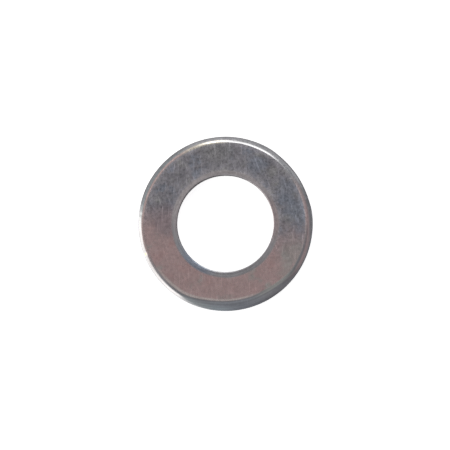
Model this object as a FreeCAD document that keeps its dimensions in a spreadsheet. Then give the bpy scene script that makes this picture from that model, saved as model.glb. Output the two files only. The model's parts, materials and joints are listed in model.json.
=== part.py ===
import FreeCAD, Part
import math
import os

import Sketcher

# Flat washer blanked from steel strip: one plain ring for an M12 bolt, normal series.
#
# One stroke of a compound die cuts the rim and pierces the bore, and both cuts leave the same marks.
# The edge of the upper face is drawn down into a rounded roll. Below the roll runs a smooth upright
# land, which sets the outside diameter and the bore. Below the land the steel tore away at a slight
# taper, down to the lower face, where barrel tumbling has rounded off the burr.
#
# Frame: +Z along the bore's axis, origin at the centre of the lower face. Sizes are in millimetres.

PARTS_FOLDER = "parts"
WASHER = "flat_washer"

# alias, value, what it is
DRIVING_SIZES = (
    ("outside_diameter", 23.8, "over the rim's upright land"),
    ("bore_diameter", 13.2, "between the bore's upright lands"),
    ("thickness", 2.5, "lower face to upper face"),
    ("rim_roll_width", 1.02, "rounded edge of the upper face, measured in from the rim"),
    ("rim_roll_depth", 0.45, "drop of that edge, from the upper face to the land"),
    ("bore_roll_width", 0.7, "rounded edge of the upper face, measured out from the bore"),
    ("bore_roll_depth", 0.12, "drop of that edge, from the upper face to the land"),
    ("rim_land_height", 0.9, "smooth upright band round the rim"),
    ("bore_land_height", 1.0, "smooth upright band inside the bore"),
    ("rim_break_step", 0.12, "how far the torn part of the rim falls back at the lower face"),
    ("bore_break_step", 0.12, "how far the torn part of the bore opens at the lower face"),
    ("corner_radius", 0.12, "rounding where a roll turns into its land"),
    ("burr_radius", 0.1, "rounding of the two edges of the lower face"),
)

# which point of a sketch element a constraint names, and the sketch's own X axis with its origin
START, END = 1, 2
AXIS = -1
CENTRE = (AXIS, START)


def make_sheet(doc):
    """The spreadsheet of driving sizes, one to a row: its name, its value and what it is."""
    sheet = doc.addObject("Spreadsheet::Sheet", "Sizes")
    for row, (alias, value, meaning) in enumerate(DRIVING_SIZES, start=1):
        sheet.set(f"A{row}", alias)
        sheet.set(f"B{row}", str(value))
        sheet.setAlias(f"B{row}", alias)
        sheet.set(f"C{row}", meaning)
    doc.recompute()
    return sheet


def origin_plane(body, role):
    """One of the body's own origin planes, such as XZ_Plane."""
    return next(plane for plane in body.Origin.OriginFeatures if plane.Role == role)


def roll_arc(land_head, face_edge, width, depth):
    """The arc of a roll: level at the upper face's edge, and depth lower at the land, width away."""
    radius = (width**2 + depth**2) / (2 * depth)
    centre = face_edge - FreeCAD.Vector(0, radius, 0)
    angles = sorted(math.atan2(p.y - centre.y, p.x - centre.x) for p in (land_head, face_edge))
    return Part.ArcOfCircle(Part.Circle(centre, FreeCAD.Vector(0, 0, 1), radius), *angles)


def bind_distance(sketch, name, kind, first, second, expression):
    """A named distance from the first point to the second, bound to the spreadsheet."""
    near, far = (FreeCAD.Vector() if p == CENTRE else sketch.getPoint(*p) for p in (first, second))
    drawn = far.x - near.x if kind == "DistanceX" else far.y - near.y
    index = sketch.addConstraint(Sketcher.Constraint(kind, *first, *second, drawn))
    sketch.renameConstraint(index, name)
    sketch.setExpression(f"Constraints.{name}", expression)


def add_section(body, sheet):
    """The ring's cross-section on one side of the axis: X is the radius and Y is the height.

    It runs anticlockwise from the lower face: the rim's torn part, land and roll, the upper face,
    and the bore's roll, land and torn part.
    """
    sketch = body.newObject("Sketcher::SketchObject", "RingSection")
    sketch.AttachmentSupport = [(origin_plane(body, "XZ_Plane"), "")]
    sketch.MapMode = "FlatFace"

    rim_radius, bore_radius = sheet.outside_diameter / 2, sheet.bore_diameter / 2
    rim_roll_foot = sheet.thickness - sheet.rim_roll_depth
    bore_roll_foot = sheet.thickness - sheet.bore_roll_depth
    lower_rim = FreeCAD.Vector(rim_radius - sheet.rim_break_step, 0)
    rim_land_foot = FreeCAD.Vector(rim_radius, rim_roll_foot - sheet.rim_land_height)
    rim_land_head = FreeCAD.Vector(rim_radius, rim_roll_foot)
    face_at_rim = FreeCAD.Vector(rim_radius - sheet.rim_roll_width, sheet.thickness)
    face_at_bore = FreeCAD.Vector(bore_radius + sheet.bore_roll_width, sheet.thickness)
    bore_land_head = FreeCAD.Vector(bore_radius, bore_roll_foot)
    bore_land_foot = FreeCAD.Vector(bore_radius, bore_roll_foot - sheet.bore_land_height)
    lower_bore = FreeCAD.Vector(bore_radius + sheet.bore_break_step, 0)

    rim_arc = roll_arc(rim_land_head, face_at_rim, sheet.rim_roll_width, sheet.rim_roll_depth)
    bore_arc = roll_arc(bore_land_head, face_at_bore, sheet.bore_roll_width, sheet.bore_roll_depth)
    lower_face = sketch.addGeometry(Part.LineSegment(lower_bore, lower_rim))
    rim_break = sketch.addGeometry(Part.LineSegment(lower_rim, rim_land_foot))
    rim_land = sketch.addGeometry(Part.LineSegment(rim_land_foot, rim_land_head))
    rim_roll = sketch.addGeometry(rim_arc)
    upper_face = sketch.addGeometry(Part.LineSegment(face_at_rim, face_at_bore))
    bore_roll = sketch.addGeometry(bore_arc)
    bore_land = sketch.addGeometry(Part.LineSegment(bore_land_head, bore_land_foot))
    bore_break = sketch.addGeometry(Part.LineSegment(bore_land_foot, lower_bore))

    loop = (lower_face, rim_break, rim_land, rim_roll, upper_face, bore_roll, bore_land, bore_break)
    tangent = ((rim_roll, upper_face), (upper_face, bore_roll))
    for pair in zip(loop, loop[1:] + loop[:1]):
        kind = "Tangent" if pair in tangent else "Coincident"
        sketch.addConstraint(Sketcher.Constraint(kind, pair[0], END, pair[1], START))
    sketch.addConstraint(Sketcher.Constraint("PointOnObject", lower_face, START, AXIS))
    for level in (lower_face, upper_face):
        sketch.addConstraint(Sketcher.Constraint("Horizontal", level))
    for upright in (rim_land, bore_land):
        sketch.addConstraint(Sketcher.Constraint("Vertical", upright))

    distances = (
        ("RimRadius", "DistanceX", CENTRE, (rim_land, START), "Sizes.outside_diameter / 2"),
        ("BoreRadius", "DistanceX", CENTRE, (bore_land, START), "Sizes.bore_diameter / 2"),
        ("Thickness", "DistanceY", CENTRE, (upper_face, START), "Sizes.thickness"),
        ("RimRollWidth", "DistanceX", (rim_roll, END), (rim_roll, START), "Sizes.rim_roll_width"),
        ("RimRollDepth", "DistanceY", (rim_roll, START), (rim_roll, END), "Sizes.rim_roll_depth"),
        ("BoreRollWidth", "DistanceX", (bore_roll, END), (bore_roll, START), "Sizes.bore_roll_width"),
        ("BoreRollDepth", "DistanceY", (bore_roll, END), (bore_roll, START), "Sizes.bore_roll_depth"),
        ("RimLand", "DistanceY", (rim_land, START), (rim_land, END), "Sizes.rim_land_height"),
        ("BoreLand", "DistanceY", (bore_land, END), (bore_land, START), "Sizes.bore_land_height"),
        ("RimBreak", "DistanceX", (rim_break, START), (rim_break, END), "Sizes.rim_break_step"),
        ("BoreBreak", "DistanceX", (bore_break, START), (bore_break, END), "Sizes.bore_break_step"),
    )
    for name, kind, first, second, expression in distances:
        bind_distance(sketch, name, kind, first, second, expression)
    body.Document.recompute()
    return sketch


def circle_edge(shape, radius, height):
    """The name of the circular edge round the Z axis with the given radius and height."""
    for number, edge in enumerate(shape.Edges, start=1):
        curve = edge.Curve
        if isinstance(curve, Part.Circle) and math.isclose(curve.Radius, radius, abs_tol=1e-5):
            if math.isclose(curve.Center.z, height, abs_tol=1e-5):
                return f"Edge{number}"
    raise RuntimeError(f"no edge has radius {radius:.3f} mm at height {height:.3f} mm")


def round_edges(body, base, name, places, expression):
    """A fillet on the base feature's edges at the given (radius, height) places."""
    fillet = body.newObject("PartDesign::Fillet", name)
    fillet.Base = (base, [circle_edge(base.Shape, radius, height) for radius, height in places])
    fillet.setExpression("Radius", expression)
    body.Document.recompute()
    return fillet


def add_washer(doc, sheet):
    """The whole ring: its section turned about the bore's axis, then its four corners rounded."""
    body = doc.addObject("PartDesign::Body", "FlatWasher")
    body.Label = WASHER
    section = add_section(body, sheet)

    ring = body.newObject("PartDesign::Revolution", "Ring")
    ring.Profile = section
    ring.ReferenceAxis = (section, ["V_Axis"])
    ring.Angle = 360
    doc.recompute()

    rim_radius, bore_radius = sheet.outside_diameter / 2, sheet.bore_diameter / 2
    roll_feet = (
        (rim_radius, sheet.thickness - sheet.rim_roll_depth),
        (bore_radius, sheet.thickness - sheet.bore_roll_depth),
    )
    lower_edges = (
        (rim_radius - sheet.rim_break_step, 0),
        (bore_radius + sheet.bore_break_step, 0),
    )
    corners = round_edges(body, ring, "RollCorners", roll_feet, "Sizes.corner_radius")
    body.Tip = round_edges(body, corners, "BurrEdges", lower_edges, "Sizes.burr_radius")
    doc.recompute()
    return body


def check_document(doc):
    """Stops the build if an object failed to recompute or a sketch is free to move."""
    failed = [item.Name for item in doc.Objects if {"Invalid", "Error"} & set(item.State)]
    if failed:
        raise RuntimeError(f"these objects did not recompute: {', '.join(failed)}")
    for sketch in doc.findObjects("Sketcher::SketchObject"):
        if sketch.solve() != 0 or not sketch.FullyConstrained:
            raise RuntimeError(f"{sketch.Name} is not solved and fully constrained")


def check_piece(piece):
    """Stops the build unless the piece is one valid, closed solid."""
    shape = piece.Shape
    if shape.isNull() or not shape.isValid():
        raise RuntimeError(f"{piece.Label} has no valid shape")
    if len(shape.Solids) != 1 or not shape.Solids[0].isClosed():
        raise RuntimeError(f"{piece.Label} is not one closed solid")


def main():
    doc = FreeCAD.newDocument("FlatWasher")
    washer = add_washer(doc, make_sheet(doc))
    check_document(doc)
    check_piece(washer)
    os.makedirs(PARTS_FOLDER, exist_ok=True)
    washer.Shape.exportStep(os.path.join(PARTS_FOLDER, f"{washer.Label}.step"))
    box = washer.Shape.optimalBoundingBox()
    print(f"{washer.Label}: {box.XLength:.2f} x {box.YLength:.2f} x {box.ZLength:.2f} mm")
    print(f"volume {washer.Shape.Volume:.2f} mm3, {len(washer.Shape.Faces)} faces")


main()
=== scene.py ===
import json
import math

import bpy
from mathutils import Euler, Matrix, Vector


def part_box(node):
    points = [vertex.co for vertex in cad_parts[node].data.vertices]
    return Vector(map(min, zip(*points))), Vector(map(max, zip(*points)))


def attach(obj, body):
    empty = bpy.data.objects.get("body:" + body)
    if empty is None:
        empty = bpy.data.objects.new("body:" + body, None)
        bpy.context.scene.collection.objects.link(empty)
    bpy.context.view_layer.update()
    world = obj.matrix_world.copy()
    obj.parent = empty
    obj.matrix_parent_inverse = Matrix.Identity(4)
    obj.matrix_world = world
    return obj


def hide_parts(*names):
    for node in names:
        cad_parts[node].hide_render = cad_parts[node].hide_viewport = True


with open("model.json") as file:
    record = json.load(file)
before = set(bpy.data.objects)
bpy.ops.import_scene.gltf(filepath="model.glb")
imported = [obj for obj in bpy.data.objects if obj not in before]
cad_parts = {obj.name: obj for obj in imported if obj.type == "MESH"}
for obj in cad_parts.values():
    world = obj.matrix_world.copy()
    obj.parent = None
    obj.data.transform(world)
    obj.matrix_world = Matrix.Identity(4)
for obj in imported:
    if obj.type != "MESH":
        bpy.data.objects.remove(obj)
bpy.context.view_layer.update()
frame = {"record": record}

millimetre = 0.001
micron = 0.000001
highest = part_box("flat_washer")[1]
boreMount = next(m for m in frame["record"]["mounts"] if m["name"] == "bolt_hole")


class Term:                                # an output in a node tree, so that a sum can be written as a sum
    def __init__(self, tree, socket):
        self.tree = tree
        self.socket = socket

    def worked(self, operation, *values):
        return nodeOut(self.tree, "ShaderNodeMath", values, operation=operation)

    def __add__(self, other):
        return self.worked("ADD", self, other)

    def __radd__(self, other):
        return self.worked("ADD", other, self)

    def __sub__(self, other):
        return self.worked("SUBTRACT", self, other)

    def __rsub__(self, other):
        return self.worked("SUBTRACT", other, self)

    def __mul__(self, other):
        return self.worked("MULTIPLY", self, other)

    def __rmul__(self, other):
        return self.worked("MULTIPLY", other, self)

    def __truediv__(self, other):
        return self.worked("DIVIDE", self, other)

    def __rtruediv__(self, other):
        return self.worked("DIVIDE", other, self)

    def __pow__(self, other):
        return self.worked("POWER", self, other)

    def __lt__(self, other):
        return self.worked("LESS_THAN", self, other)

    def __gt__(self, other):
        return self.worked("GREATER_THAN", self, other)

    def __neg__(self):
        return self.worked("MULTIPLY", self, -1.0)


def plug(tree, socket, value):             # links a term, or sets the socket's own number, colour or name
    if isinstance(value, Term):
        tree.links.new(value.socket, socket)
    else:
        socket.default_value = value


def addNode(tree, kind, inputs=(), **settings):
    node = tree.nodes.new(kind)
    for name, value in settings.items():
        setattr(node, name, value)
    sockets = [s for s in node.inputs if s.enabled]
    pairs = inputs.items() if isinstance(inputs, dict) else enumerate(inputs)
    for key, value in pairs:
        socket = sockets[key] if isinstance(key, int) else next(s for s in sockets if s.name == key)
        plug(tree, socket, value)
    return node


def nodeOut(tree, kind, inputs=(), output=0, **settings):
    node = addNode(tree, kind, inputs, **settings)
    sockets = [s for s in node.outputs if s.enabled]
    socket = sockets[output] if isinstance(output, int) else next(s for s in sockets if s.name == output)
    return Term(tree, socket)


def smoothStep(value, low, high):          # 0 at low, 1 at high, eased between and held beyond
    return nodeOut(value.tree, "ShaderNodeMapRange", (value, low, high, 0.0, 1.0),
                   interpolation_type="SMOOTHSTEP")


def clamped(value, low=0.0, high=1.0):
    return nodeOut(value.tree, "ShaderNodeClamp", (value, low, high))


def either(chooser, whenTrue, whenFalse):  # a blend of two numbers by a 0 to 1 chooser
    return nodeOut(chooser.tree, "ShaderNodeMix", (chooser, whenFalse, whenTrue), data_type="FLOAT")


def blended(chooser, whenTrue, whenFalse):  # the same for two colours
    return nodeOut(chooser.tree, "ShaderNodeMix", (chooser, whenFalse, whenTrue), data_type="RGBA")


def cosine(angle):
    return angle.worked("COSINE", angle)


def sine(angle):
    return angle.worked("SINE", angle)


def parts(vector):
    node = addNode(vector.tree, "ShaderNodeSeparateXYZ", (vector,))
    return [Term(vector.tree, s) for s in node.outputs]


def vectorOf(tree, x, y, z):
    return nodeOut(tree, "ShaderNodeCombineXYZ", (x, y, z))


def vectorWork(operation, vector, other=None, output="Vector"):
    inputs = (vector,) if other is None else (vector, other)
    return nodeOut(vector.tree, "ShaderNodeVectorMath", inputs, output, operation=operation)


def scaled(vector, factor):
    inputs = {"Vector": vector, "Scale": factor}
    return nodeOut(vector.tree, "ShaderNodeVectorMath", inputs, operation="SCALE")


def outward(here):                         # the level direction away from the bore's axis
    x, y, _ = parts(here)
    return vectorWork("NORMALIZE", vectorOf(here.tree, x, y, 0.0))


def noise(vector, size, detail=2.0, roughness=0.5, distortion=0.0):   # 0 to 1, features about size across
    inputs = {"Vector": vector, "Scale": 1.0 / size, "Detail": detail, "Roughness": roughness,
              "Distortion": distortion}
    return nodeOut(vector.tree, "ShaderNodeTexNoise", inputs)


washerSizes = {                            # metres and radians; the first three come from the frame
    "Outside Radius": highest.x,
    "Bore Radius": boreMount["dims"]["r_mm"] * millimetre,
    "Thickness": highest.z,
    "Rim Roll Width": 1.02 * millimetre,
    "Rim Roll Depth": 0.45 * millimetre,
    "Bore Roll Width": 0.70 * millimetre,
    "Bore Roll Depth": 0.12 * millimetre,
    "Rim Land Height": 0.90 * millimetre,
    "Bore Land Height": 1.00 * millimetre,
    "Break Step": 0.12 * millimetre,
    "Corner Radius": 0.12 * millimetre,
    "Burr Radius": 0.10 * millimetre,
    "Rim Roll Curve": 1.35,                # the power of a roll's drop: 2 is an arc, 1 is a plain chamfer
    "Deep Roll Curve": 1.20,
    "Bore Roll Curve": 1.0,
    "Deep Roll Angle": math.radians(-78),  # where the strip was dragged furthest into the die
    "Deep Roll Extra": 0.57 * millimetre,
    "Roll Slack": 0.18 * millimetre,       # how much narrower the roll is away from there
    "Roll Lean Angle": math.radians(20),
    "Roll Lean": 0.10 * millimetre,
    "Bore Lean Angle": math.radians(-95),
    "Bore Lean": 0.08 * millimetre,
    "Roll Wander": 0.07 * millimetre,
    "Lip Angle": math.radians(-106),       # the stretch where a painted highlight runs along the face beside its roll
    "Ding Angle": math.radians(-159),
    "Ding Reach": 0.36 * millimetre,
    "Worn Angle": math.radians(33),        # where the rim is a little flattened
    "Worn Depth": 0.11 * millimetre,
    "Tear Line Swing": 0.16 * millimetre,
    "Tear Roughness": 0.035 * millimetre,
    "Face Ripple": 0.005 * millimetre,
    "Nick Depth": 0.018 * millimetre,
}
washerCounts = {"Segments": 650, "Rim Nicks": 12, "Face Nicks": 60, "Seed": 7}
sectionSpacing = 0.105 * millimetre        # between the points of the section
floorSpacing = 0.32 * millimetre           # the same on the lower face
arcPoints = {"roll": 20, "corner": 4, "burr": 4}
wallReach = 1.3                            # a wall's points lie within this many break steps of its land
burrShare = 0.4                            # how far up the burr's rounding the lower face's finish goes
rimStretches = {                           # cosines of the angle from its middle, where it starts and is full
    "deep": (0.70, 0.98),
    "worn": (0.89, 0.99),
    "lip": (0.70, 0.90),
}
wornWidth = 0.5 * millimetre
wanderSize = 0.5                           # radians round, about, from a wider place to a narrower one
tearShape = {
    "slowSize": 6 * millimetre,
    "slowShare": 1.6,
    "quickSize": 0.7 * millimetre,
    "quickShare": 0.9,
    "grainSize": 0.32 * millimetre,
    "grainMiddle": 0.35,
    "upperFade": 0.12 * millimetre,
    "lowerFade": 0.25 * millimetre,
}
nickRanges = {                             # reach in millimetres, bite in nick depths
    "edge": {"reach": (0.18, 0.5), "bite": (0.15, 0.6)},
    "face": {"reach": (0.12, 0.42), "bite": (0.05, 0.22)},
}
faceMargin = 0.1                           # the share of the ring's width without face nicks, on either side
dingPlace = {"across": 0.25, "down": 0.6, "bite": 2.4}     # shares of the rim's roll, and nick depths
rippleSize = 3.5 * millimetre


def washerSection(tree, size):             # X is the radius and Y the height, anticlockwise
    top, rim, bore = size["Thickness"], size["Outside Radius"], size["Bore Radius"]

    def knee(width, depth):                # where a roll's two tangents meet, and the radius of its arc
        run = (width * width + depth * depth) / (width * 2.0)
        steepness = depth / width
        cornerRun = size["Corner Radius"] * (1.0 - steepness) / (steepness + 1.0)
        return width - run, (run - cornerRun) / steepness

    rimKnee, rimRollRadius = knee(size["Rim Roll Width"], size["Rim Roll Depth"])
    boreKnee, boreRollRadius = knee(size["Bore Roll Width"], size["Bore Roll Depth"])
    rimRollFoot = top - size["Rim Roll Depth"]
    boreRollFoot = top - size["Bore Roll Depth"]
    corners = (                            # radius, height, rounding, points in the rounding
        (bore + size["Break Step"], 0.0, size["Burr Radius"], arcPoints["burr"]),
        (rim - size["Break Step"], 0.0, size["Burr Radius"], arcPoints["burr"]),
        (rim, rimRollFoot - size["Rim Land Height"], 0.0, 1),
        (rim, rimRollFoot, size["Corner Radius"], arcPoints["corner"]),
        (rim - rimKnee, top, rimRollRadius, arcPoints["roll"]),
        (bore + boreKnee, top, boreRollRadius, arcPoints["roll"]),
        (bore, boreRollFoot, size["Corner Radius"], arcPoints["corner"]),
        (bore, boreRollFoot - size["Bore Land Height"], 0.0, 1),
    )

    def byCorner(values, kind):            # one value for each corner, by its number
        node = addNode(tree, "GeometryNodeIndexSwitch", data_type=kind)
        while len(node.index_switch_items) < len(corners):
            node.index_switch_items.new()
        plug(tree, node.inputs[0], nodeOut(tree, "GeometryNodeInputIndex"))
        for socket, value in zip(node.inputs[1:], values):
            plug(tree, socket, value)
        return Term(tree, node.outputs[0])

    places = byCorner([vectorOf(tree, x, y, 0.0) for x, y, _, _ in corners], "VECTOR")
    points = nodeOut(tree, "GeometryNodePoints", {"Count": len(corners), "Position": places})
    outline = nodeOut(tree, "GeometryNodePointsToCurves", (points,))
    outline = nodeOut(tree, "GeometryNodeSetSplineCyclic", {"Geometry": outline, "Cyclic": True})
    rounding = byCorner([c[2] for c in corners], "FLOAT")
    amount = byCorner([c[3] for c in corners], "INT")
    outline = nodeOut(tree, "GeometryNodeFilletCurve",
                      {"Curve": outline, "Count": amount, "Radius": rounding, "Limit Radius": True},
                      mode="POLY")

    here = nodeOut(tree, "GeometryNodeInputPosition")
    count = nodeOut(tree, "GeometryNodeAttributeDomainSize", (outline,), component="CURVE")
    following = nodeOut(tree, "ShaderNodeMath", (nodeOut(tree, "GeometryNodeInputIndex") + 1.0, count),
                        operation="MODULO")
    there = nodeOut(tree, "GeometryNodeFieldAtIndex", {"Value": here, "Index": following},
                    data_type="FLOAT_VECTOR", domain="POINT")
    length = vectorWork("DISTANCE", here, there, "Value")
    onFloor = (parts(here)[1] + parts(there)[1]) < 0.1 * micron
    cuts = length / either(onFloor, floorSpacing, sectionSpacing)
    cuts = nodeOut(tree, "ShaderNodeMath", (cuts,), operation="FLOOR")
    return nodeOut(tree, "GeometryNodeSubdivideCurve", (outline, cuts))


def turned(tree, section, segments):       # the section's points carried round the bore's axis
    count = nodeOut(tree, "GeometryNodeAttributeDomainSize", (section,), component="CURVE")
    grid = nodeOut(tree, "GeometryNodeMeshGrid",
                   {"Vertices X": segments + 1.0, "Vertices Y": count + 1.0, "Size X": 1.0, "Size Y": 1.0})
    index = nodeOut(tree, "GeometryNodeInputIndex")
    # a little is added before each floor, so that rounding can't lose a whole number
    column = nodeOut(tree, "ShaderNodeMath", (index / (count + 1.0) + 1e-4,), operation="FLOOR")
    row = index - column * (count + 1.0)
    row = nodeOut(tree, "ShaderNodeMath", (row + 0.5, count), operation="MODULO")
    row = nodeOut(tree, "ShaderNodeMath", (row,), operation="FLOOR")
    here = nodeOut(tree, "GeometryNodeInputPosition")
    place = nodeOut(tree, "GeometryNodeSampleIndex", {"Geometry": section, "Value": here, "Index": row},
                    data_type="FLOAT_VECTOR", domain="POINT")
    radius, height, _ = parts(place)
    angle = column / segments * math.tau
    spot = vectorOf(tree, radius * cosine(angle), radius * sine(angle), height)
    ring = nodeOut(tree, "GeometryNodeSetPosition", {"Geometry": grid, "Position": spot})
    return nodeOut(tree, "GeometryNodeMergeByDistance", {"Geometry": ring, "Distance": micron})


def ringPlace(tree):                       # a point's place: vector, distance from the axis, angle, height
    here = nodeOut(tree, "GeometryNodeInputPosition")
    x, y, z = parts(here)
    radius = vectorWork("LENGTH", vectorOf(tree, x, y, 0.0), output="Value")
    angle = nodeOut(tree, "ShaderNodeMath", (y, x), operation="ARCTAN2")
    return here, radius, angle, z


def stored(tree, geometry, name, value, domain="POINT"):
    return nodeOut(tree, "GeometryNodeStoreNamedAttribute",
                   {"Geometry": geometry, "Name": name, "Value": value}, data_type="FLOAT", domain=domain)


def named(tree, name):
    return nodeOut(tree, "GeometryNodeInputNamedAttribute", {"Name": name}, data_type="FLOAT")


def shifted(tree, geometry, offset):
    return nodeOut(tree, "GeometryNodeSetPosition", {"Geometry": geometry, "Offset": offset})


def markZones(tree, ring, size):           # landZone is 1 on the smooth bands, tearZone on the torn ones
    _, radius, _, height = ringPlace(tree)
    rim, bore = size["Outside Radius"], size["Bore Radius"]
    onRim = radius > (rim + bore) / 2.0
    fromWall = either(onRim, rim - radius, radius - bore)
    rollFoot = size["Thickness"] - either(onRim, size["Rim Roll Depth"], size["Bore Roll Depth"])
    landFoot = rollFoot - either(onRim, size["Rim Land Height"], size["Bore Land Height"])
    onWall = fromWall < size["Break Step"] * wallReach
    land = onWall * (height > landFoot) * (height < rollFoot)
    tear = onWall * (height < landFoot) * (height > size["Burr Radius"] * burrShare)
    ring = stored(tree, ring, "landZone", land, "FACE")
    ring = stored(tree, ring, "tearZone", tear, "FACE")
    ring = stored(tree, ring, "rimSide", onRim)
    ring = stored(tree, ring, "fromWall", fromWall)
    ring = stored(tree, ring, "rollFoot", rollFoot)
    return stored(tree, ring, "landFoot", landFoot)


def unevenRolls(tree, ring, size):         # each roll's width changes on its way round
    here, _, angle, height = ringPlace(tree)
    middle = (size["Outside Radius"] - size["Bore Radius"]) / 2.0
    rimSide, fromWall = named(tree, "rimSide"), named(tree, "fromWall")

    def alongRim(stretch, centre):         # 1 on the named stretch of the rim
        return smoothStep(cosine(angle - size[centre]), *rimStretches[stretch]) * rimSide

    deep = alongRim("deep", "Deep Roll Angle")
    wander = (noise(outward(here), wanderSize) - 0.5) * size["Roll Wander"] * 2.0
    rimExtra = deep * size["Deep Roll Extra"] - size["Roll Slack"]
    rimExtra = rimExtra + cosine(angle - size["Roll Lean Angle"]) * size["Roll Lean"]
    boreExtra = cosine(angle - size["Bore Lean Angle"]) * size["Bore Lean"]
    extra = either(rimSide, rimExtra, boreExtra) + wander
    width = either(rimSide, size["Rim Roll Width"], size["Bore Roll Width"])
    depth = either(rimSide, size["Rim Roll Depth"], size["Bore Roll Depth"])
    upper = height > size["Thickness"] / 2.0
    fade = clamped((middle - fromWall) / (middle - width))
    stretch = extra / width * fade * upper
    inward = fromWall * stretch * either(rimSide, -1.0, 1.0)
    worn = alongRim("worn", "Worn Angle") * clamped(1.0 - fromWall / wornWidth)
    inward = inward - worn * size["Worn Depth"]

    # a roll starts with a crease, hardest where it is deep
    rimCurve = either(deep, size["Deep Roll Curve"], size["Rim Roll Curve"])
    curve = either(rimSide, rimCurve, size["Bore Roll Curve"])
    share = clamped(1.0 - fromWall / width)
    drop = -((share ** curve - share ** 2.0) * depth * upper)
    offset = vectorWork("ADD", scaled(outward(here), inward), vectorOf(tree, 0.0, 0.0, drop))
    pastRoll = (fromWall - width) * (stretch + 1.0) / millimetre
    ring = stored(tree, ring, "lip", alongRim("lip", "Lip Angle") * upper)
    ring = stored(tree, ring, "pastRoll", either(upper, pastRoll, 1.0))
    return shifted(tree, ring, offset)


def raggedTear(tree, ring, size):          # the tear line rises and falls, and the torn steel is rough
    here, _, _, height = ringPlace(tree)
    rollFoot, landFoot = named(tree, "rollFoot"), named(tree, "landFoot")
    seeded = vectorOf(tree, 0.0, 0.0, size["Seed"])
    around = vectorWork("ADD", scaled(outward(here), size["Outside Radius"]), seeded)
    slow = noise(around, tearShape["slowSize"], 1.0) - 0.5
    quick = noise(around, tearShape["quickSize"], 3.0, 0.6) - 0.5
    above = clamped((rollFoot - height) / (rollFoot - landFoot))
    below = clamped(height / landFoot)
    nearWall = named(tree, "fromWall") < size["Break Step"] * wallReach
    swing = slow * tearShape["slowShare"] + quick * tearShape["quickShare"]
    lift = swing * either(height > landFoot, above, below) * nearWall
    ring = shifted(tree, ring, vectorOf(tree, 0.0, 0.0, lift * size["Tear Line Swing"] * 2.0))

    here, _, _, height = ringPlace(tree)
    inTear = clamped((landFoot - height) / tearShape["upperFade"])
    inTear = inTear * smoothStep(height, 0.0, tearShape["lowerFade"])
    grain = noise(here, tearShape["grainSize"], 3.0, 0.65) - tearShape["grainMiddle"]
    inward = -(inTear * grain) * size["Tear Roughness"] * 2.0 * nearWall
    return shifted(tree, ring, scaled(nodeOut(tree, "GeometryNodeInputNormal"), inward))


def dents(tree, count, place, reach, bite):    # the centres of dents, each with its reach and bite
    cloud = nodeOut(tree, "GeometryNodePoints", {"Count": count, "Position": place})
    cloud = stored(tree, cloud, "reach", reach)
    return stored(tree, cloud, "bite", bite)


def nickPoints(tree, size, count, seed, zone):     # the dents that tumbling left on the edge or the face
    def chance(low, high, shift):
        inputs = {"Min": low, "Max": high, "Seed": seed + float(shift)}
        return nodeOut(tree, "FunctionNodeRandomValue", inputs, data_type="FLOAT")

    angle = chance(0.0, math.tau, 1)
    rim, bore, top = size["Outside Radius"], size["Bore Radius"], size["Thickness"]
    across = chance(0.0, 1.0, 2)
    if zone == "edge":
        radius = rim - size["Rim Roll Width"] * across
        height = top - (1.0 - across) ** 2.0 * size["Rim Roll Depth"]
    else:
        radius = bore + (rim - bore) * (across * (1.0 - 2.0 * faceMargin) + faceMargin)
        height = top
    place = vectorOf(tree, radius * cosine(angle), radius * sine(angle), height)
    reach = chance(*nickRanges[zone]["reach"], 3) * millimetre
    return dents(tree, count, place, reach, chance(*nickRanges[zone]["bite"], 4))


def ding(tree, size):                      # the one deeper dent, on the rim
    angle = size["Ding Angle"]
    radius = size["Outside Radius"] - size["Rim Roll Width"] * dingPlace["across"]
    height = size["Thickness"] - size["Rim Roll Depth"] * dingPlace["down"]
    place = vectorOf(tree, radius * cosine(angle), radius * sine(angle), height)
    return dents(tree, 1, place, size["Ding Reach"], dingPlace["bite"])


def nicked(tree, ring, size):              # the surface pushed in round each of those centres
    join = addNode(tree, "GeometryNodeJoinGeometry")
    for points in (nickPoints(tree, size, size["Rim Nicks"], size["Seed"], "edge"),
                   nickPoints(tree, size, size["Face Nicks"], size["Seed"] + 40.0, "face"),
                   ding(tree, size)):
        tree.links.new(points.socket, join.inputs[0])
    cloud = Term(tree, join.outputs[0])
    here = nodeOut(tree, "GeometryNodeInputPosition")
    nearest = nodeOut(tree, "GeometryNodeSampleNearest", (cloud, here))

    def sampled(value, kind):
        inputs = {"Geometry": cloud, "Value": value, "Index": nearest}
        return nodeOut(tree, "GeometryNodeSampleIndex", inputs, data_type=kind)

    away = vectorWork("DISTANCE", here, sampled(here, "FLOAT_VECTOR"), "Value")
    reach = sampled(named(tree, "reach"), "FLOAT")
    bite = sampled(named(tree, "bite"), "FLOAT")
    pressed = smoothStep(1.0 - away / reach, 0.0, 1.0) * bite
    ring = stored(tree, ring, "nick", pressed)
    depth = -(named(tree, "nick") * size["Nick Depth"])
    return shifted(tree, ring, scaled(nodeOut(tree, "GeometryNodeInputNormal"), depth))


def rippledFaces(tree, ring, size):        # a flat face is never quite flat
    here, _, _, height = ringPlace(tree)
    ripple = (noise(here, rippleSize, 2.0) - 0.5) * size["Face Ripple"] * 2.0
    return shifted(tree, ring, vectorOf(tree, 0.0, 0.0, ripple * (height > size["Thickness"] / 2.0)))


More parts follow.
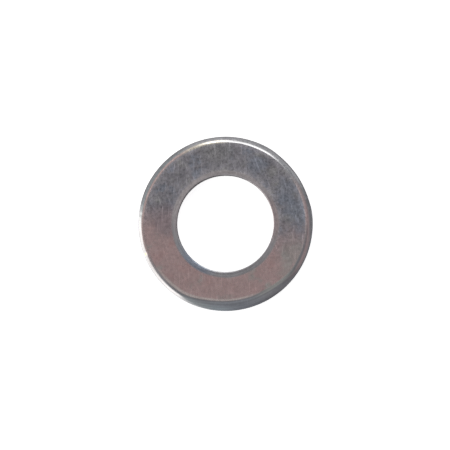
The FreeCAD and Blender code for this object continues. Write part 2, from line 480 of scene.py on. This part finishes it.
def washerTree(finishes):
    tree = bpy.data.node_groups.new("blankedWasher", "GeometryNodeTree")
    for starts, kind in ((washerSizes, "NodeSocketFloat"), (washerCounts, "NodeSocketInt")):
        for name, start in starts.items():
            socket = tree.interface.new_socket(name, in_out="INPUT", socket_type=kind)
            socket.default_value = start
    tree.interface.new_socket("Washer", in_out="OUTPUT", socket_type="NodeSocketGeometry")
    given = addNode(tree, "NodeGroupInput")
    size = {s.name: Term(tree, s) for s in given.outputs if s.name}

    section = washerSection(tree, size)
    ring = turned(tree, section, size["Segments"])
    ring = markZones(tree, ring, size)
    ring = unevenRolls(tree, ring, size)
    ring = raggedTear(tree, ring, size)
    ring = rippledFaces(tree, ring, size)
    ring = nicked(tree, ring, size)
    ring = nodeOut(tree, "GeometryNodeSetShadeSmooth", {"Geometry": ring, "Shade Smooth": True})
    ring = nodeOut(tree, "GeometryNodeRealizeInstances", (ring,))
    ring = nodeOut(tree, "GeometryNodeSetMaterial", {"Geometry": ring, "Material": finishes["platedFace"]})
    for zone, finish in (("landZone", "shearedBand"), ("tearZone", "tornBand")):
        coat = {"Geometry": ring, "Selection": named(tree, zone) > 0.5, "Material": finishes[finish]}
        ring = nodeOut(tree, "GeometryNodeSetMaterial", coat)
    output = addNode(tree, "NodeGroupOutput")
    tree.links.new(ring.socket, output.inputs[0])
    return tree


def makeWasher(finishes):
    tree = washerTree(finishes)
    maker = bpy.data.objects.new("washerMaker", bpy.data.meshes.new("washerMaker"))
    bpy.context.scene.collection.objects.link(maker)
    modifier = maker.modifiers.new("blankedWasher", "NODES")
    modifier.node_group = tree
    values = {**washerSizes, **washerCounts}
    for item in tree.interface.items_tree:
        if item.in_out == "INPUT":
            modifier[item.identifier] = values[item.name]
    graph = bpy.context.evaluated_depsgraph_get()
    mesh = bpy.data.meshes.new_from_object(maker.evaluated_get(graph), depsgraph=graph)
    mesh.name = "washer"
    while None in mesh.materials[:]:       # the grid brings one empty slot with it
        mesh.materials.pop(index=mesh.materials[:].index(None))
    bpy.data.objects.remove(maker)
    washer = bpy.data.objects.new("washer", mesh)
    bpy.context.scene.collection.objects.link(washer)
    print(f"washer: {len(mesh.vertices)} points, {len(mesh.polygons)} faces")
    return washer


def shaderGroup(name, inputs, outputs):    # inputs as {name: start value}, outputs as {name: socket kind}
    group = bpy.data.node_groups.new(name, "ShaderNodeTree")
    for label, start in inputs.items():
        kind = "NodeSocketVector" if start is None else "NodeSocketFloat"
        socket = group.interface.new_socket(label, in_out="INPUT", socket_type=kind)
        if start is not None:
            socket.default_value = start
    for label, kind in outputs.items():
        group.interface.new_socket(label, in_out="OUTPUT", socket_type=kind)
    given = addNode(group, "NodeGroupInput")
    result = addNode(group, "NodeGroupOutput")
    return group, {s.name: Term(group, s) for s in given.outputs if s.name}, result


def placed(tree, group, **values):         # a group in a material, with its own values
    node = tree.nodes.new("ShaderNodeGroup")
    node.node_tree = group
    for socket in node.inputs:
        key = socket.name[0].lower() + socket.name[1:].replace(" ", "")
        if key in values:
            plug(tree, socket, values[key])
    return {s.name: Term(tree, s) for s in node.outputs}


tints = {                                  # colours of the plated zinc; many of them are painted reflections and highlights
    "cool": (0.418, 0.405, 0.438, 1.0),
    "blue": (0.370, 0.402, 0.472, 1.0),
    "plum": (0.450, 0.372, 0.398, 1.0),
    "grey": (0.425, 0.418, 0.425, 1.0),
    "warm": (0.700, 0.517, 0.507, 1.0),
    "rose": (0.712, 0.500, 0.488, 1.0),
    "sage": (0.600, 0.555, 0.530, 1.0),
    "lip": (0.880, 0.780, 0.745, 1.0),
    "rimRoll": (0.560, 0.555, 0.565, 1.0),
    "roseLine": (0.700, 0.560, 0.540, 1.0),
    "boreHigh": (0.750, 0.695, 0.700, 1.0),
    "boreLow": (0.560, 0.550, 0.565, 1.0),
    "boreBlue": (0.405, 0.455, 0.550, 1.0),
    "boreRose": (0.650, 0.550, 0.550, 1.0),
    "deepBlue": (0.565, 0.592, 0.632, 1.0),
    "darkLine": (0.430, 0.430, 0.450, 1.0),
    "straw": (0.800, 0.700, 0.470, 1.0),
    "tealLine": (0.535, 0.585, 0.590, 1.0),
    "sageLine": (0.680, 0.685, 0.635, 1.0),
    "creamLine": (0.880, 0.830, 0.710, 1.0),
}
# painted reflections: placed patches that copy the colours reflected on the face and on the rolls
paintedFacePatches = (                            # tint, place in millimetres, reach, strength
    ("blue", (4.4, 8.1), 1.9, 0.7),
    ("blue", (8.4, 4.6), 2.2, 0.6),
    ("blue", (9.6, 1.6), 2.4, 0.8),
    ("grey", (-1.2, 10.2), 2.6, 0.8),
    ("plum", (-8.6, 0.4), 2.6, 0.7),
    ("sage", (9.3, -4.3), 2.4, 0.7),
    ("sage", (8.5, -6.7), 1.5, 0.6),
)
paintedRollPatches = (
    ("boreBlue", (-4.4, -5.3), 3.4, 0.9),
    ("boreRose", (6.9, 0.8), 3.4, 1.0),
    ("deepBlue", (1.4, -11.4), 5.0, 0.9),
)
# painted reflections along the rolls, light and dark lines and the creamy end of a highlight: tint, middle
# and half width in degrees, start and end in millimetres past the roll, strength
paintedRimLines = (
    ("roseLine", 160, 52, 0.04, -0.27, 0.95),
    ("roseLine", 8, 22, 0.08, -0.38, 0.75),
    ("roseLine", -25, 14, -0.30, -0.72, 0.55),
    ("tealLine", 150, 26, -0.30, -0.56, 0.85),
    ("creamLine", 106, 11, 0.08, -0.34, 0.85),
    ("sageLine", -47, 15, 0.03, -0.42, 0.70),
    ("darkLine", -20, 15, 0.02, -0.28, 0.75),
    ("darkLine", -137, 17, 0.00, -0.28, 0.65),
    ("darkLine", -88, 28, -0.01, -0.16, 0.45),
)
patchEdge = (1.1, 0.3)                     # in reaches, where a patch starts and where it is full
lineBlur = 0.07                            # millimetres, at a line's sides
lineFade = 9                               # degrees, at its ends
driftAndPaintedReflection = {
    "slowSize": 1.9 * millimetre,
    "quickSize": 2.2 * millimetre,
    "quickShift": (0.05, 0.02, 0.0),       # keeps the two drifts apart
    "borderSlope": 0.08,                   # the border lies between the cool half and the warm half, both painted reflections
    "borderWaver": 2.4 * millimetre,
    "borderTop": 2.4 * millimetre,
    "borderFoot": 2.5 * millimetre,        # below the middle at the left, and further down at the right
    "borderDip": 3.5 * millimetre,
    "borderHalf": 9 * millimetre,
    "grey": (0.52, 0.66),                  # where in its drift a tint starts and is full
    "blue": (0.48, 0.34),
    "sage": (0.54, 0.74),
    "rose": (0.48, 0.32),
    "blueStrength": 0.7,
    "faceUnevenness": 1.6,
    "rollUnevenness": 0.8,
    "flatEdge": (-0.16, 0.14),             # millimetres past the roll
    "dent": (0.7, 1.8),                    # nick depths, where the painted glint in the ding starts and is full
}
cloudShare = 0.3                           # the grain's size as a share of the coarser mottle's
markEdge = (0.57, 0.74)                    # where in its noise a scratch starts and where it is full
burnishPace = 1.6                          # how fast the burnished lines change on their way round


def patched(colour, where, unevenness, patches, amount):
    for tint, place, reach, strength in patches:
        centre = (place[0] * millimetre, place[1] * millimetre, highest.z)
        away = vectorWork("DISTANCE", where, centre, "Value") / (reach * millimetre)
        mask = smoothStep(away + unevenness, *patchEdge) * strength
        colour = blended(mask * amount, tints[tint], colour)
    return colour


def lined(colour, where, pastRoll, rimSide):
    x, y, _ = parts(where)
    away = (x * x + y * y) ** 0.5
    for tint, middle, half, start, end, strength in paintedRimLines:
        facing = (x * math.cos(math.radians(middle)) + y * math.sin(math.radians(middle))) / away
        ends = [math.cos(math.radians(half + fade)) for fade in (lineFade, -lineFade)]
        mask = smoothStep(facing, *ends)
        mask = mask * smoothStep(pastRoll, start + lineBlur, start - lineBlur)
        mask = mask * smoothStep(pastRoll, end - lineBlur, end + lineBlur)
        colour = blended(mask * rimSide * strength, tints[tint], colour)
    return colour


def passivateTint():                       # the coating's colour drifts at random; over it go painted reflections and highlights: a warm lower half, a cool upper half, placed patches, rim lines, a lip highlight and a glint in the ding
    starts = {"Vector": None, "Past Roll": 1.0, "Rim Side": 1.0, "Lip": 0.0, "Dent": 0.0, "Flat": 1.0,
              "Patchiness": 1.0}
    kinds = {"Color": "NodeSocketColor", "Warm": "NodeSocketFloat", "Flatness": "NodeSocketFloat"}
    group, given, result = shaderGroup("passivateTint", starts, kinds)
    where, pastRoll, patchiness = given["Vector"], given["Past Roll"], given["Patchiness"]
    x, y, _ = parts(where)
    slow = noise(where, driftAndPaintedReflection["slowSize"], 3.0, 0.62)
    quick = noise(vectorWork("ADD", where, driftAndPaintedReflection["quickShift"]), driftAndPaintedReflection["quickSize"], 3.0, 0.6)
    # painted reflection: the face is warm and lighter below the border, cool and darker above it
    across = x * driftAndPaintedReflection["borderSlope"] + y + (quick - 0.5) * driftAndPaintedReflection["borderWaver"]
    rightward = smoothStep(x, -driftAndPaintedReflection["borderHalf"], driftAndPaintedReflection["borderHalf"])
    foot = -(rightward * driftAndPaintedReflection["borderDip"] + driftAndPaintedReflection["borderFoot"])
    warm = smoothStep(across, driftAndPaintedReflection["borderTop"], foot)

    bluish = smoothStep(slow, *driftAndPaintedReflection["blue"]) * patchiness * driftAndPaintedReflection["blueStrength"]
    face = blended(smoothStep(slow, *driftAndPaintedReflection["grey"]) * patchiness, tints["grey"], tints["cool"])
    face = blended(bluish, tints["blue"], face)
    warmSide = blended(smoothStep(quick, *driftAndPaintedReflection["sage"]), tints["sage"], tints["warm"])
    warmSide = blended(smoothStep(quick, *driftAndPaintedReflection["rose"]), tints["rose"], warmSide)
    face = blended(warm, warmSide, face)
    face = patched(face, where, (slow - 0.5) * driftAndPaintedReflection["faceUnevenness"], paintedFacePatches, patchiness)

    # painted reflection: the bore's roll is lighter in the upper, cool half and darker in the lower, warm
    # half
    boreRoll = blended(warm, tints["boreLow"], tints["boreHigh"])
    roll = blended(given["Rim Side"], tints["rimRoll"], boreRoll)
    roll = patched(roll, where, (slow - 0.5) * driftAndPaintedReflection["rollUnevenness"], paintedRollPatches, 1.0)
    flatness = smoothStep(pastRoll, *driftAndPaintedReflection["flatEdge"]) * given["Flat"]
    colour = lined(blended(flatness, face, roll), where, pastRoll, given["Rim Side"])
    colour = blended(given["Lip"], tints["lip"], colour)
    # painted highlight: a yellowish glint in the deep ding
    colour = blended(smoothStep(given["Dent"], *driftAndPaintedReflection["dent"]), tints["straw"], colour)
    plug(group, result.inputs["Color"], colour)
    plug(group, result.inputs["Warm"], warm)
    plug(group, result.inputs["Flatness"], flatness)
    return group


def platingGrain():                        # the fine mottle of electroplated zinc, over a coarser one
    group, given, result = shaderGroup(
        "platingGrain", {"Vector": None, "Grain Size": 0.0004, "Contrast": 0.2},
        {"Shade": "NodeSocketFloat", "Height": "NodeSocketFloat"})
    fine = noise(given["Vector"], given["Grain Size"], 3.0, 0.6)
    cloudy = noise(given["Vector"], given["Grain Size"] / cloudShare, 1.0)
    shade = ((fine - 0.5) * 2.0 + (cloudy - 0.5)) * given["Contrast"] + 1.0
    plug(group, result.inputs["Shade"], shade)
    plug(group, result.inputs["Height"], fine)
    return group


def tumbleMarks():                         # long faint scratches, all about one way
    group, given, result = shaderGroup(
        "tumbleMarks", {"Vector": None, "Turn": 0.0, "Length": 0.003, "Width": 0.00014, "Amount": 0.3},
        {"Mark": "NodeSocketFloat"})
    turn = given["Turn"]
    x, y, z = parts(given["Vector"])
    along = (x * sine(turn) + y * cosine(turn)) / given["Length"]
    across = (x * cosine(turn) - y * sine(turn)) / given["Width"]
    streak = noise(vectorOf(group, across, along, z / given["Width"]), 1.0, 2.0, 0.6, 0.15)
    mark = smoothStep(streak, *markEdge) * given["Amount"]
    plug(group, result.inputs["Mark"], mark)
    return group


def burnishLines():                        # faint lines round the part, where the die drew the rolls down
    group, given, result = shaderGroup(
        "burnishLines", {"Vector": None, "Past Roll": 1.0, "Spacing": 0.22, "Amount": 0.0},
        {"Shade": "NodeSocketFloat"})
    acrossRoll = vectorOf(group, 0.0, 0.0, given["Past Roll"] / given["Spacing"])
    aroundRing = scaled(outward(given["Vector"]), burnishPace)
    streak = noise(vectorWork("ADD", aroundRing, acrossRoll), 1.0, 2.0, 0.6)
    plug(group, result.inputs["Shade"], (streak - 0.5) * 2.0 * given["Amount"])
    return group


def attribute(tree, name):
    return nodeOut(tree, "ShaderNodeAttribute", output="Fac", attribute_name=name)


# the pairs are millimetres past the roll, where there is nothing of it and where it is full
lipHighlightShape = {"start": (-0.05, 0.05), "end": (0.42, 0.15), "strength": 0.95}
paintedSheenReach = (0.75, 0.0)
secondMarks = {"turn": -0.42, "length": 4.2 * millimetre, "share": 0.8}
roughnessGrain = 0.2                       # how much the grain changes the roughness


def zincFinish(name, groups, finish):
    material = bpy.data.materials.new(name)
    material.use_nodes = True
    tree = material.node_tree
    shader = tree.nodes["Principled BSDF"]
    shader.inputs["Metallic"].default_value = 1.0
    where = nodeOut(tree, "ShaderNodeTexCoord", output="Object")
    grained = nodeOut(tree, "ShaderNodeMapping", {"Vector": where, "Scale": finish["stretch"]})
    pastRoll = attribute(tree, "pastRoll")
    # painted highlight: a light line on the face beside the roll
    lip = smoothStep(pastRoll, *lipHighlightShape["start"]) * smoothStep(pastRoll, *lipHighlightShape["end"])
    lip = lip * attribute(tree, "lip") * finish["flat"] * lipHighlightShape["strength"]

    tint = placed(tree, groups["tint"], vector=where, pastRoll=pastRoll, lip=lip,
                  rimSide=attribute(tree, "rimSide"), dent=attribute(tree, "nick"),
                  flat=finish["flat"], patchiness=finish["patchiness"])
    grain = placed(tree, groups["grain"], vector=grained, grainSize=finish["grainSize"],
                   contrast=finish["contrast"])
    marks = placed(tree, groups["marks"], vector=where, turn=finish["turn"], amount=finish["markAmount"])
    slanted = placed(tree, groups["marks"], vector=where, turn=finish["turn"] + secondMarks["turn"],
                     length=secondMarks["length"], amount=finish["markAmount"] * secondMarks["share"])
    lines = placed(tree, groups["lines"], vector=where, pastRoll=pastRoll, amount=finish["lines"])

    # painted sheen: the face is made a little brighter beside its rolls, in the cool half only
    warm, flatness = tint["Warm"], tint["Flatness"]
    rubbed = smoothStep(pastRoll, *paintedSheenReach) * flatness * (1.0 - warm) * finish["rubbed"]
    calm = either(warm, finish["warmCalm"], 1.0) * either(flatness, 1.0, finish["rollCalm"])
    drawn = lines["Shade"] * (1.0 - flatness)
    shade = (grain["Shade"] - 1.0 + marks["Mark"] + slanted["Mark"]) * calm + 1.0 + rubbed + drawn
    plug(tree, shader.inputs["Base Color"], scaled(tint["Color"], shade * finish["bright"]))
    roughness = either(flatness, finish["roughness"], finish["polished"])
    plug(tree, shader.inputs["Roughness"], (grain["Height"] - 0.5) * roughnessGrain + roughness)
    relief = either(flatness, 1.0, finish["rollRelief"]) * finish["relief"]
    bump = addNode(tree, "ShaderNodeBump", {"Strength": 1.0, "Distance": relief, "Height": grain["Height"]})
    tree.links.new(bump.outputs[0], shader.inputs["Normal"])
    return material


bandFinish = {                             # what the smooth land and the torn band share
    "turn": 0.0, "markAmount": 0.0, "rubbed": 0.0, "lines": 0.0, "flat": 0.0,
    "rollRelief": 1.0, "rollCalm": 1.0, "warmCalm": 1.0,
}
finishSizes = {                            # polished is the roughness on the rolls
    "platedFace": {
        "grainSize": 0.30 * millimetre, "contrast": 0.72, "stretch": (1.0, 1.0, 1.0), "relief": 5 * micron,
        "roughness": 0.28, "polished": 0.17, "bright": 1.0, "patchiness": 1.0,
        "turn": 0.05, "markAmount": 0.75, "rubbed": 0.28, "lines": 0.42, "flat": 1.0,
        "rollRelief": 0.4, "rollCalm": 0.40, "warmCalm": 0.34,
    },
    "shearedBand": {
        **bandFinish,
        "grainSize": 0.18 * millimetre, "contrast": 0.30, "stretch": (1.0, 1.0, 0.06), "relief": 4 * micron,
        "roughness": 0.24, "polished": 0.24, "bright": 1.0, "patchiness": 0.6,
    },
    "tornBand": {
        **bandFinish,
        "grainSize": 0.16 * millimetre, "contrast": 0.55, "stretch": (1.0, 1.0, 0.5), "relief": 18 * micron,
        "roughness": 0.52, "polished": 0.52, "bright": 0.8, "patchiness": 0.4,
    },
}
groups = {"tint": passivateTint(), "grain": platingGrain(), "marks": tumbleMarks(), "lines": burnishLines()}
finishes = {name: zincFinish(name, groups, finish) for name, finish in finishSizes.items()}
print(f"finishes: {len(finishes)}")

washer = makeWasher(finishes)
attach(washer, "root")
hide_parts("flat_washer")


floorSizes = {
    "half": 0.6,
    "gap": 0.02 * millimetre,
    "colour": (0.9, 0.9, 0.9, 1.0),
    "glow": 0.80,
    "darkGloss": (0.34, 0.34, 0.35, 1.0),  # the colour that only reflections see
    "litAngle": math.radians(204),         # a lit sector, also seen by reflections alone
    "litFrom": 9.0 * millimetre,
    "litFull": 11.7 * millimetre,
    "litSpan": (0.68, 0.88),
    "litGlow": 0.95,
}


def makeFloor():                           # pale and plain, and darker in reflections than to the camera
    half = floorSizes["half"]
    mesh = bpy.data.meshes.new("floor")
    corners = [(-half, -half, 0), (half, -half, 0), (half, half, 0), (-half, half, 0)]
    mesh.from_pydata(corners, [], [(0, 1, 2, 3)])
    floor = bpy.data.objects.new("floor", mesh)
    floor.location.z = -floorSizes["gap"]
    bpy.context.scene.collection.objects.link(floor)
    material = bpy.data.materials.new("paleFloor")
    material.use_nodes = True
    tree = material.node_tree
    shader = tree.nodes["Principled BSDF"]
    shader.inputs["Roughness"].default_value = 1.0
    shader.inputs["Specular IOR Level"].default_value = 0.0
    shader.inputs["Emission Color"].default_value = (1.0, 1.0, 1.0, 1.0)
    ray = addNode(tree, "ShaderNodeLightPath")
    glossy = Term(tree, ray.outputs["Is Glossy Ray"])
    seen = Term(tree, ray.outputs["Is Camera Ray"])
    angle = floorSizes["litAngle"]
    x, y, _ = parts(nodeOut(tree, "ShaderNodeTexCoord", output="Object"))
    away = (x * x + y * y) ** 0.5
    towardLamp = x * math.cos(angle) + y * math.sin(angle)
    lit = smoothStep(towardLamp, floorSizes["litFrom"], floorSizes["litFull"])
    lit = lit * smoothStep(towardLamp / away, *floorSizes["litSpan"])
    glow = seen * floorSizes["glow"] + glossy * lit * floorSizes["litGlow"]
    plug(tree, shader.inputs["Base Color"], blended(glossy, floorSizes["darkGloss"], floorSizes["colour"]))
    plug(tree, shader.inputs["Emission Strength"], glow)
    mesh.materials.append(material)


# azimuth, half width, lowest and highest elevation, blur and lean in degrees, then power and colour
studioPanels = {
    "key": (82, 23, 39, 59, 6, 15, 2.3, (1.0, 1.0, 0.98)),
    "side": (203, 33, -4, 31, 7, 0, 1.6, (1.0, 0.965, 0.92)),
    "corner": (252, 14, -4, 26, 9, 0, 0.40, (1.0, 1.0, 1.0)),
    "fill": (138, 34, -8, 56, 14, 0, 0.15, (1.0, 1.0, 0.97)),
    "skyline": (74, 44, -8, 34, 8, 0, 0.20, (1.0, 1.0, 1.0)),
    "window": (42, 16, 24, 76, 9, 0, 0.13, (0.92, 0.98, 1.0)),
    "warmWall": (165, 60, 40, 60, 7, 0, 0.22, (1.0, 0.88, 0.84)),
    "rightWall": (-4, 27, 30, 62, 7, -35, 0.09, (1.0, 0.62, 0.58)),
    "flag": (-44, 20, -4, 52, 9, 0, -0.035, (1.0, 1.0, 1.0)),          # a dark card
    "upper": (-46, 24, 58, 76, 8, 0, 0.07, (1.0, 1.0, 0.98)),
    "bounce": (-106, 14, 12, 52, 9, 0, 0.17, (0.82, 1.0, 0.98)),
}
studioSky = {
    "zenith": (0.344, 0.338, 0.341, 1.0),
    "horizon": (0.245, 0.245, 0.26, 1.0),
    "change": (math.radians(50), math.radians(85)),        # elevations where the one turns into the other
    "backdrop": (1.0, 1.0, 1.0, 1.0),
}


def makeWorld():
    world = bpy.data.worlds.new("studio")
    world.use_nodes = True
    tree = world.node_tree
    toward = nodeOut(tree, "ShaderNodeTexCoord", output="Generated")
    x, y, z = parts(toward)
    azimuth = nodeOut(tree, "ShaderNodeMath", (y, x), operation="ARCTAN2")
    elevation = nodeOut(tree, "ShaderNodeMath", (clamped(z, -1.0, 1.0),), operation="ARCSINE")
    rise = smoothStep(elevation, *studioSky["change"])
    light = blended(rise, studioSky["zenith"], studioSky["horizon"])
    for *degrees, power, colour in studioPanels.values():
        middle, half, low, high, blur, lean = [math.radians(angle) for angle in degrees]
        aside = azimuth - middle
        mask = smoothStep(cosine(aside), math.cos(half + blur), math.cos(half - blur))
        level = elevation + sine(aside) * lean
        mask = mask * smoothStep(level, low - blur, low + blur)
        mask = mask * smoothStep(level, high + blur, high - blur)
        glow = nodeOut(tree, "ShaderNodeCombineColor", colour)
        light = vectorWork("ADD", light, scaled(glow, mask * power))
    seen = Term(tree, addNode(tree, "ShaderNodeLightPath").outputs["Is Camera Ray"])
    plug(tree, tree.nodes["Background"].inputs["Color"], blended(seen, studioSky["backdrop"], light))
    bpy.context.scene.world = world


cameraPlace = {
    "lens": 100.0,
    "clip": 0.01,
    "distance": 0.1703,
    "tiltX": math.radians(3.4),
    "tiltY": math.radians(2.1),
    "target": (-0.04 * millimetre, -0.20 * millimetre, 2.0 * millimetre),
}


def makeCamera():
    data = bpy.data.cameras.new("camera")
    data.lens = cameraPlace["lens"]
    data.clip_start = cameraPlace["clip"]
    camera = bpy.data.objects.new("camera", data)
    bpy.context.scene.collection.objects.link(camera)
    turn = Euler((cameraPlace["tiltX"], cameraPlace["tiltY"], 0.0))
    back = turn.to_matrix() @ Vector((0.0, 0.0, 1.0))
    camera.location = Vector(cameraPlace["target"]) + back * cameraPlace["distance"]
    camera.rotation_euler = turn
    bpy.context.scene.camera = camera


makeFloor()
makeWorld()
makeCamera()
bpy.context.scene.view_settings.view_transform = "Standard"
print("stage: floor, world and camera")
